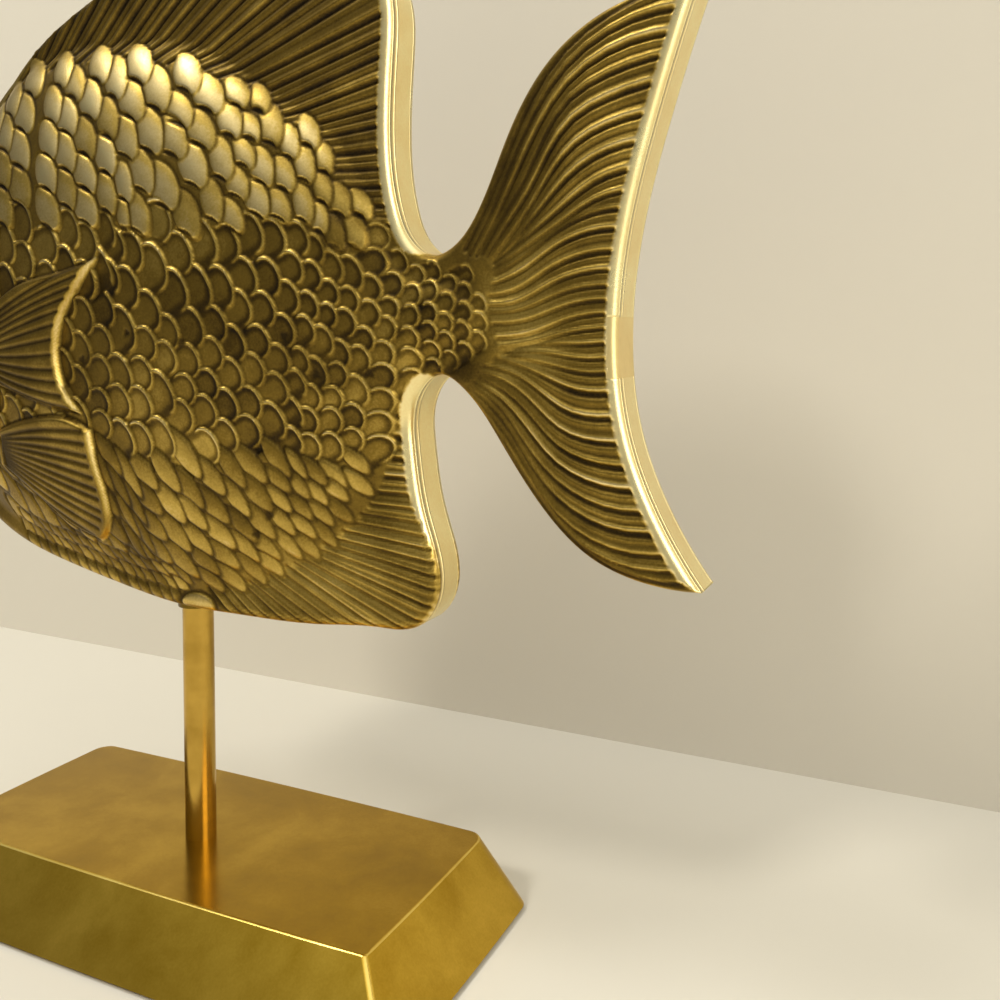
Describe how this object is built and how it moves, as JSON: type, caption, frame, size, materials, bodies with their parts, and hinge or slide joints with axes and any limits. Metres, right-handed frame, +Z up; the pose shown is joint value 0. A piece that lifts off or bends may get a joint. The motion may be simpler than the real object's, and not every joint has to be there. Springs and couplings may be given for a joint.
{
  "type": "fish figurine",
  "caption": "Cast brass fish with tall fins and a forked tail, carried on a round rod above a hollow rectangular base with sloping sides; the fish turns on the rod.",
  "frame": {"origin": "underside of the base, where the felt rests on the table, on the axis of the rod", "axes": "+Z up along the rod, +X towards the tail, -X towards the snout, -Y the fish's left side"},
  "size_m": [0.2832, 0.086, 0.2951],
  "materials": {
    "aged_brass": "cast relief with dark patina left in the recesses and rubbed bright on the high places",
    "polished_brass": "turned and polished",
    "satin_brass": "ground satin, mottled by handling",
    "zinc_steel": "zinc plated",
    "felt": "dark green pressed felt"
  },
  "bodies": {
    "stand": {"base": "satin_brass", "rod": "polished_brass", "flat_washer": "zinc_steel", "spring_washer": "zinc_steel", "hex_nut": "zinc_steel", "felt_pad": "felt"},
    "fish": {"fish_left_half": "aged_brass", "fish_right_half": "aged_brass", "tail_core_plug": "polished_brass", "belly_bush": "polished_brass"}
  },
  "joints": [
    {"name": "fish_swivel", "type": "hinge", "parent": "stand", "child": "fish", "pos_m": [0, 0, 0.0913], "axis": [0, 0, 1], "continuous": true}
  ]
}
